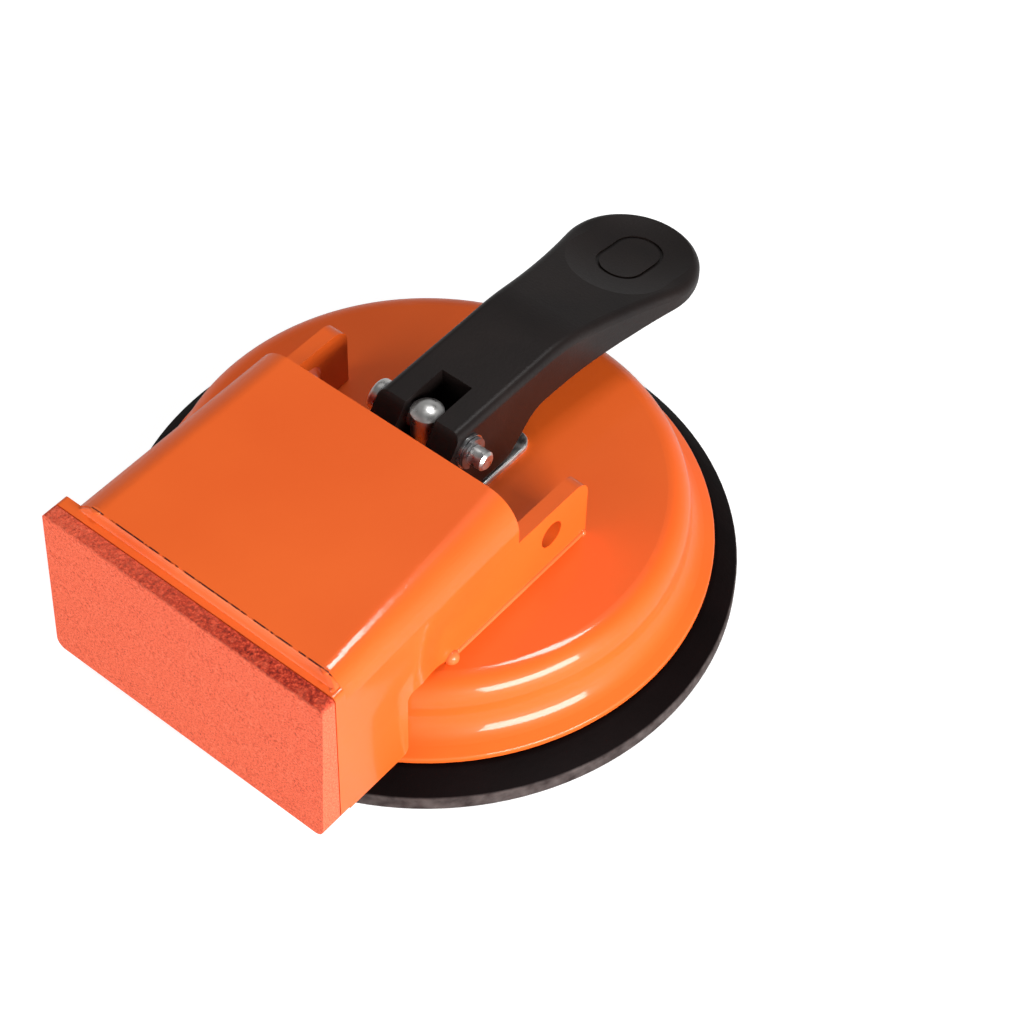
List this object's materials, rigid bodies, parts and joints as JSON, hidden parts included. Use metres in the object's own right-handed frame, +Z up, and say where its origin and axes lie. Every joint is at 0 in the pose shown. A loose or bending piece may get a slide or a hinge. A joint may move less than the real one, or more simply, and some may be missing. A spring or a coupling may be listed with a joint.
{
  "type": "floor tile suction lifter",
  "caption": "Vacuum foot with a round rubber pad, a cam lever that grips it to the floor, and a welded hood with a rubber-faced strike block.",
  "frame": {"origin": "centre of the suction pad on the floor", "axes": "+Z up from the floor; the strike face looks towards -Y and the lever points towards +Y; X is the lever's pivot axis"},
  "size_m": [0.15, 0.177, 0.059],
  "materials": {
    "rubber": "matt moulded rubber",
    "dome_paint": "gloss orange enamel",
    "hood_paint": "gloss orange enamel",
    "weld_paint": "gloss orange enamel over weld",
    "strike_rubber": "speckled coral rubber",
    "adhesive": "dark glue film",
    "lever_plastic": "satin black plastic",
    "rod_nickel": "bright nickel plate",
    "bright_plate": "bright zinc plate",
    "plated_steel": "zinc plate",
    "spring_steel": "oiled spring steel",
    "bush": "natural acetal"
  },
  "bodies": {
    "root": {"rubber_pad": "rubber", "dome_shell": "dome_paint", "rod_bush": "bush", "spring_washer": "plated_steel", "return_spring": "spring_steel", "wear_plate": "bright_plate", "hood": "hood_paint", "hood_weld_right": "weld_paint", "hood_weld_left": "weld_paint", "strike_plate": "hood_paint", "strike_pad": "strike_rubber", "pad_adhesive": "adhesive", "plate_welds": "weld_paint"},
    "plunger": {"pull_rod": "rod_nickel", "insert_disc": "plated_steel", "lock_washer": "spring_steel", "disc_nut": "plated_steel", "pivot_pin": "rod_nickel", "pin_washers": "plated_steel", "e_clip": "spring_steel"},
    "lever": {"lever": "lever_plastic"}
  },
  "joints": [
    {"name": "plunger_lift", "type": "slide", "parent": "root", "child": "plunger", "axis": [0, 0, 1], "range_m": [-0.006, 0], "deforming": ["rubber_pad", "return_spring"]},
    {"name": "lever_turn", "type": "hinge", "parent": "plunger", "child": "lever", "pos_m": [0, 0, 0.0461], "axis": [1, 0, 0], "range_deg": [0, 75]}
  ],
  "couplings": [
    {"joint": "plunger_lift", "follows": "lever_turn", "m_per_rad": -0.004583}
  ]
}
